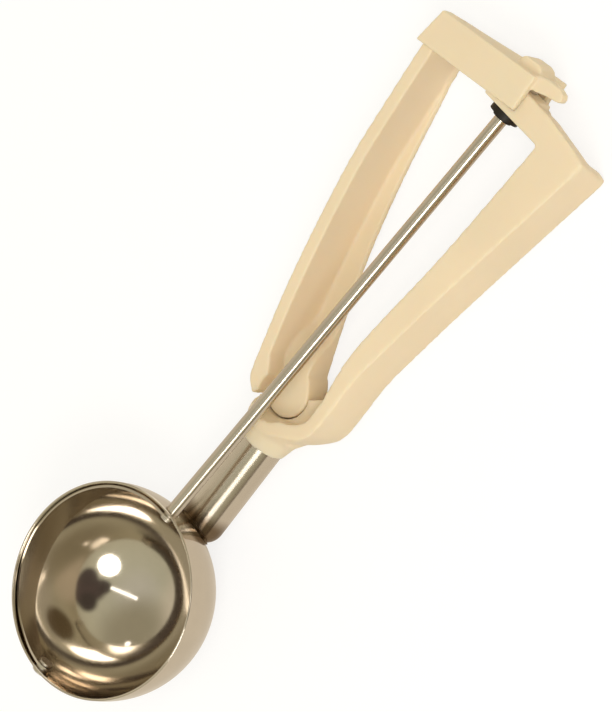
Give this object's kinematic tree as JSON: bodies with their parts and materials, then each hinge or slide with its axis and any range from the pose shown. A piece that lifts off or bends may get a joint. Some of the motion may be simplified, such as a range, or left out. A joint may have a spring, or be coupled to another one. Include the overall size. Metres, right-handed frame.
{
  "type": "lever ice cream scoop",
  "caption": "Squeeze-lever ice cream scoop: a round bowl on a tube shank, swept by a curved blade that a sprung lever turns through a rack, a pinion and a rod.",
  "frame": {"origin": "centre of the bowl's sphere, on the spindle's axis", "axes": "+X along the spindle towards the handle's head, +Y towards the squeeze lever, +Z out of the bowl's mouth"},
  "size_m": [0.2516, 0.07, 0.0441],
  "materials": {
    "bowl_steel": "polished",
    "shank_steel": "polished",
    "rod_steel": "drawn, satin",
    "blade_steel": "satin",
    "rivet_steel": "satin",
    "weld_metal": "heat-tinted",
    "spring_steel": "satin",
    "frame_ivory": "moulded, semi-gloss",
    "lever_ivory": "moulded, semi-gloss",
    "black_nylon": "moulded, matt"
  },
  "bodies": {
    "root": {"bowl": "bowl_steel", "pivot_stud": "rivet_steel", "shank_tube": "shank_steel", "shank_weld": "weld_metal", "handle_frame": "frame_ivory", "bearing_bush": "black_nylon", "hinge_pin": "rivet_steel", "return_spring": "spring_steel"},
    "lever": {"squeeze_arm": "lever_ivory", "rack_bridge": "lever_ivory"},
    "spindle": {"spindle_rod": "rod_steel", "drive_pinion": "black_nylon", "retaining_clip": "spring_steel", "scraper_blade": "blade_steel", "blade_rivet": "rivet_steel"}
  },
  "joints": [
    {"name": "lever_hinge", "type": "hinge", "parent": "root", "child": "lever", "pos_m": [0.08379, 0.003, -0.01419], "axis": [0.0872, 0, -0.9962], "range_deg": [0, 7.72], "stiffness_Nm_per_rad": 2, "springref_deg": -14.32, "deforming": ["return_spring"]},
    {"name": "spindle_turn", "type": "hinge", "parent": "root", "child": "spindle", "pos_m": [0, 0, 0], "axis": [1, 0, 0], "range_deg": [-168, 0]}
  ],
  "couplings": [
    {"joint": "spindle_turn", "follows": "lever_hinge", "ratio": -21.748}
  ]
}
